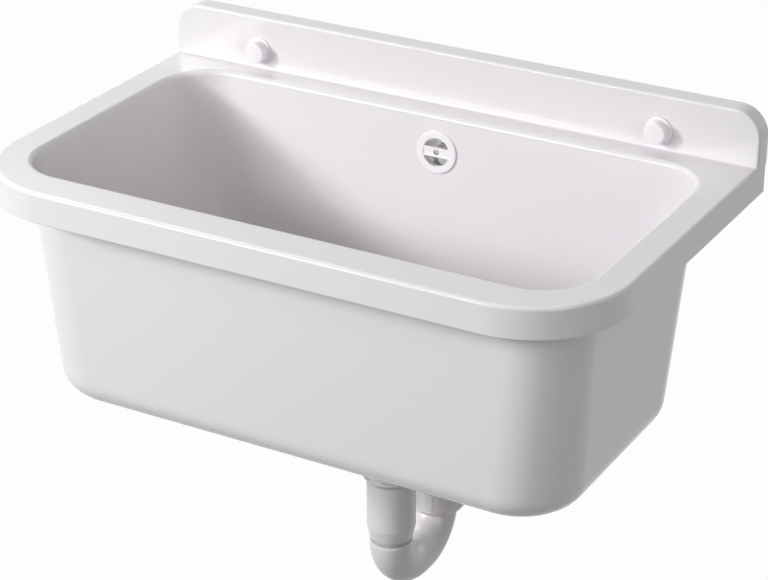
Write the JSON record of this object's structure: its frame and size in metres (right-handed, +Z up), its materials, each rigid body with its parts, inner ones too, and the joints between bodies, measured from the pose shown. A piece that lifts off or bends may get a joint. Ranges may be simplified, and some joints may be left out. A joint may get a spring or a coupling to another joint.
{
  "type": "mop service sink",
  "caption": "Wall-hung moulded plastic mop sink with a low backsplash, capped wall screws, an overflow rosette, a strainer drain and a U-bend tube trap that runs into the wall.",
  "frame": {"origin": "in the wall plane, midway between the two wall screws", "axes": "+X to the right along the wall, +Y into the wall, +Z up"},
  "size_m": [0.55, 0.3911, 0.4728],
  "materials": {
    "white_moulding": "satin gloss",
    "white_trim": "gloss",
    "white_pipe": "satin",
    "grey_nylon": "matt",
    "black_rubber": "matt",
    "grey_rubber": "matt",
    "stainless": "brushed",
    "zinc_steel": "zinc plated",
    "brass": "machined"
  },
  "bodies": {
    "sink": {"basin": "white_moulding", "wall_plug_left": "grey_nylon", "wall_plug_right": "grey_nylon", "wall_screw_left": "zinc_steel", "wall_screw_right": "zinc_steel", "screw_washer_left": "zinc_steel", "screw_washer_right": "zinc_steel", "cap_base_left": "white_trim", "cap_base_right": "white_trim", "overflow_rosette": "white_trim", "overflow_screw": "stainless", "overflow_gasket": "black_rubber", "overflow_body": "grey_nylon", "overflow_insert": "brass", "overflow_upper_seal": "black_rubber", "overflow_pipe": "white_pipe", "overflow_lower_seal": "black_rubber", "strainer": "stainless", "strainer_screw": "stainless", "strainer_seal": "black_rubber", "drain_seal": "black_rubber", "drain_body": "white_pipe", "drain_insert": "brass", "inlet_washer": "black_rubber", "inlet_tube": "white_pipe"},
    "cap_left": {"screw_cap_left": "white_trim"},
    "cap_right": {"screw_cap_right": "white_trim"},
    "inlet_nut": {"inlet_nut": "white_pipe"},
    "overflow_upper_nut": {"overflow_upper_nut": "white_pipe"},
    "overflow_lower_nut": {"overflow_lower_nut": "white_pipe"},
    "trap": {"bend_seal": "grey_rubber", "trap_bend": "white_pipe", "outlet_washer": "black_rubber"},
    "outlet_nut": {"outlet_nut": "white_pipe"},
    "outlet": {"outlet_elbow": "white_pipe"}
  },
  "joints": [
    {"name": "cap_left_pull", "type": "slide", "parent": "sink", "child": "cap_left", "axis": [0, -1, 0], "range_m": [0, 0.012]},
    {"name": "cap_right_pull", "type": "slide", "parent": "sink", "child": "cap_right", "axis": [0, -1, 0], "range_m": [0, 0.012]},
    {"name": "inlet_nut_turn", "type": "hinge", "parent": "sink", "child": "inlet_nut", "pos_m": [0, -0.1195, -0.3103], "axis": [0, 0, 1], "continuous": true},
    {"name": "overflow_upper_nut_turn", "type": "hinge", "parent": "sink", "child": "overflow_upper_nut", "pos_m": [0, -0.02, -0.0865], "axis": [0, 0, 1], "continuous": true},
    {"name": "overflow_lower_nut_turn", "type": "hinge", "parent": "sink", "child": "overflow_lower_nut", "pos_m": [0, -0.0655, -0.2455], "axis": [0, 1, 0], "continuous": true},
    {"name": "bend_swivel", "type": "hinge", "parent": "sink", "child": "trap", "pos_m": [0, -0.1195, -0.375], "axis": [0, 0, 1], "range_deg": [-90, 90]},
    {"name": "outlet_nut_turn", "type": "hinge", "parent": "trap", "child": "outlet_nut", "pos_m": [0, -0.0345, -0.3815], "axis": [0, 0, 1], "continuous": true},
    {"name": "outlet_swivel", "type": "hinge", "parent": "trap", "child": "outlet", "pos_m": [0, -0.0345, -0.383], "axis": [0, 0, 1], "range_deg": [-90, 90]}
  ]
}
